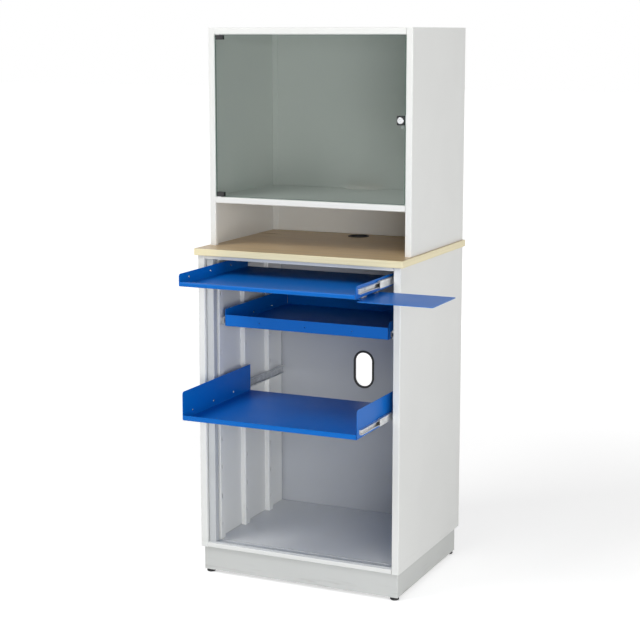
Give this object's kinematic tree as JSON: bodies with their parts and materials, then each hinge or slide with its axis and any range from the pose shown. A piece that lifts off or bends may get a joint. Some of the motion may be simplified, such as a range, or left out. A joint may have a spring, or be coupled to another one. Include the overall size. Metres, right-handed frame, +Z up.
{
  "type": "computer cabinet",
  "caption": "Tall sheet-steel computer cabinet with a glass-fronted screen housing, a wooden worktop, and pull-out keyboard tray, mouse plate, drawer and printer shelf.",
  "frame": {"origin": "floor level, middle of the base's footprint, which is 650 by 520 mm", "axes": "+X to the right seen from the front, +Y to the back, +Z up"},
  "size_m": [0.841, 0.747, 1.653],
  "materials": {
    "white_sheet": "satin light-grey powder coat",
    "plinth_grey": "satin grey powder coat",
    "inner_grey": "satin grey powder coat",
    "blue_sheet": "satin blue powder coat",
    "zinc": "zinc-plated",
    "beech": "matt beech-look facing",
    "edging": "matt edging",
    "black_plastic": "matt",
    "nylon": "matt",
    "slat_grey": "matt",
    "glass": "grey-tinted safety glass",
    "chrome": "polished",
    "bar": "satin light grey"
  },
  "bodies": {
    "cabinet": {"plinth": "plinth_grey", "levelling_feet": "black_plastic", "foot_nuts": "zinc", "lower_left_side": "white_sheet", "lower_right_side": "white_sheet", "lower_floor": "white_sheet", "front_top_rail": "white_sheet", "rear_top_rail": "inner_grey", "lower_back_panel": "inner_grey", "back_opening_trim": "black_plastic", "rear_screws": "zinc", "shutter_bottom_track": "nylon", "shutter_top_track": "nylon", "shutter_end_bar": "bar", "shutter_slats": "slat_grey", "left_pocket_wall": "inner_grey", "left_front_upright": "inner_grey", "left_middle_upright": "inner_grey", "left_rear_upright": "inner_grey", "right_front_upright": "inner_grey", "right_middle_upright": "inner_grey", "right_rear_upright": "inner_grey", "worktop": "beech", "worktop_edge_band": "edging", "cable_grommet": "black_plastic", "upper_left_side": "white_sheet", "upper_right_side": "white_sheet", "upper_top": "white_sheet", "monitor_shelf": "white_sheet", "upper_back_panel": "white_sheet", "hinge_bushes": "nylon", "lock_strike": "black_plastic", "drawer_spacers": "zinc", "keyboard_outer_slides": "zinc", "drawer_outer_slides": "zinc", "printer_outer_slides": "zinc"},
    "door": {"glass_door": "glass", "hinge_clamps": "black_plastic", "hinge_pins": "zinc", "lock_housing": "black_plastic"},
    "lock": {"lock_cylinder": "chrome", "lock_cam": "zinc"},
    "keyboard_pull_out": {"keyboard_tray": "blue_sheet", "keyboard_inner_slides": "zinc", "keyboard_screws": "zinc", "mouse_tray_rails": "zinc"},
    "keyboard_runner": {"keyboard_middle_slides": "zinc"},
    "mouse_pull_out": {"mouse_tray": "blue_sheet", "mouse_tray_studs": "nylon"},
    "drawer_pull_out": {"drawer": "blue_sheet", "drawer_inner_slides": "zinc", "drawer_screws": "zinc"},
    "drawer_runner": {"drawer_middle_slides": "zinc"},
    "printer_pull_out": {"printer_shelf": "blue_sheet", "printer_inner_slides": "zinc", "printer_screws": "zinc"},
    "printer_runner": {"printer_middle_slides": "zinc"}
  },
  "joints": [
    {"name": "door_swing", "type": "hinge", "parent": "cabinet", "child": "door", "pos_m": [-0.293, -0.175, 1.3925], "axis": [0, 0, -1], "range_deg": [0, 110]},
    {"name": "lock_turn", "type": "hinge", "parent": "door", "child": "lock", "pos_m": [0.289, -0.175, 1.3925], "axis": [0, -1, 0], "range_deg": [0, 90]},
    {"name": "keyboard_slide", "type": "slide", "parent": "cabinet", "child": "keyboard_pull_out", "axis": [0, -1, 0], "range_m": [-0.045, 0.139]},
    {"name": "keyboard_runner_slide", "type": "slide", "parent": "cabinet", "child": "keyboard_runner", "axis": [0, -1, 0], "range_m": [-0.0225, 0.0695]},
    {"name": "drawer_slide", "type": "slide", "parent": "cabinet", "child": "drawer_pull_out", "axis": [0, -1, 0], "range_m": [0, 0.4]},
    {"name": "drawer_runner_slide", "type": "slide", "parent": "cabinet", "child": "drawer_runner", "axis": [0, -1, 0], "range_m": [0, 0.2]},
    {"name": "printer_slide", "type": "slide", "parent": "cabinet", "child": "printer_pull_out", "axis": [0, -1, 0], "range_m": [-0.25, 0.15]},
    {"name": "printer_runner_slide", "type": "slide", "parent": "cabinet", "child": "printer_runner", "axis": [0, -1, 0], "range_m": [-0.125, 0.075]},
    {"name": "mouse_slide", "type": "slide", "parent": "keyboard_pull_out", "child": "mouse_pull_out", "axis": [1, 0, 0], "range_m": [-0.217, 0]}
  ],
  "couplings": [
    {"joint": "keyboard_runner_slide", "follows": "keyboard_slide", "ratio": 0.5},
    {"joint": "drawer_runner_slide", "follows": "drawer_slide", "ratio": 0.5},
    {"joint": "printer_runner_slide", "follows": "printer_slide", "ratio": 0.5}
  ]
}
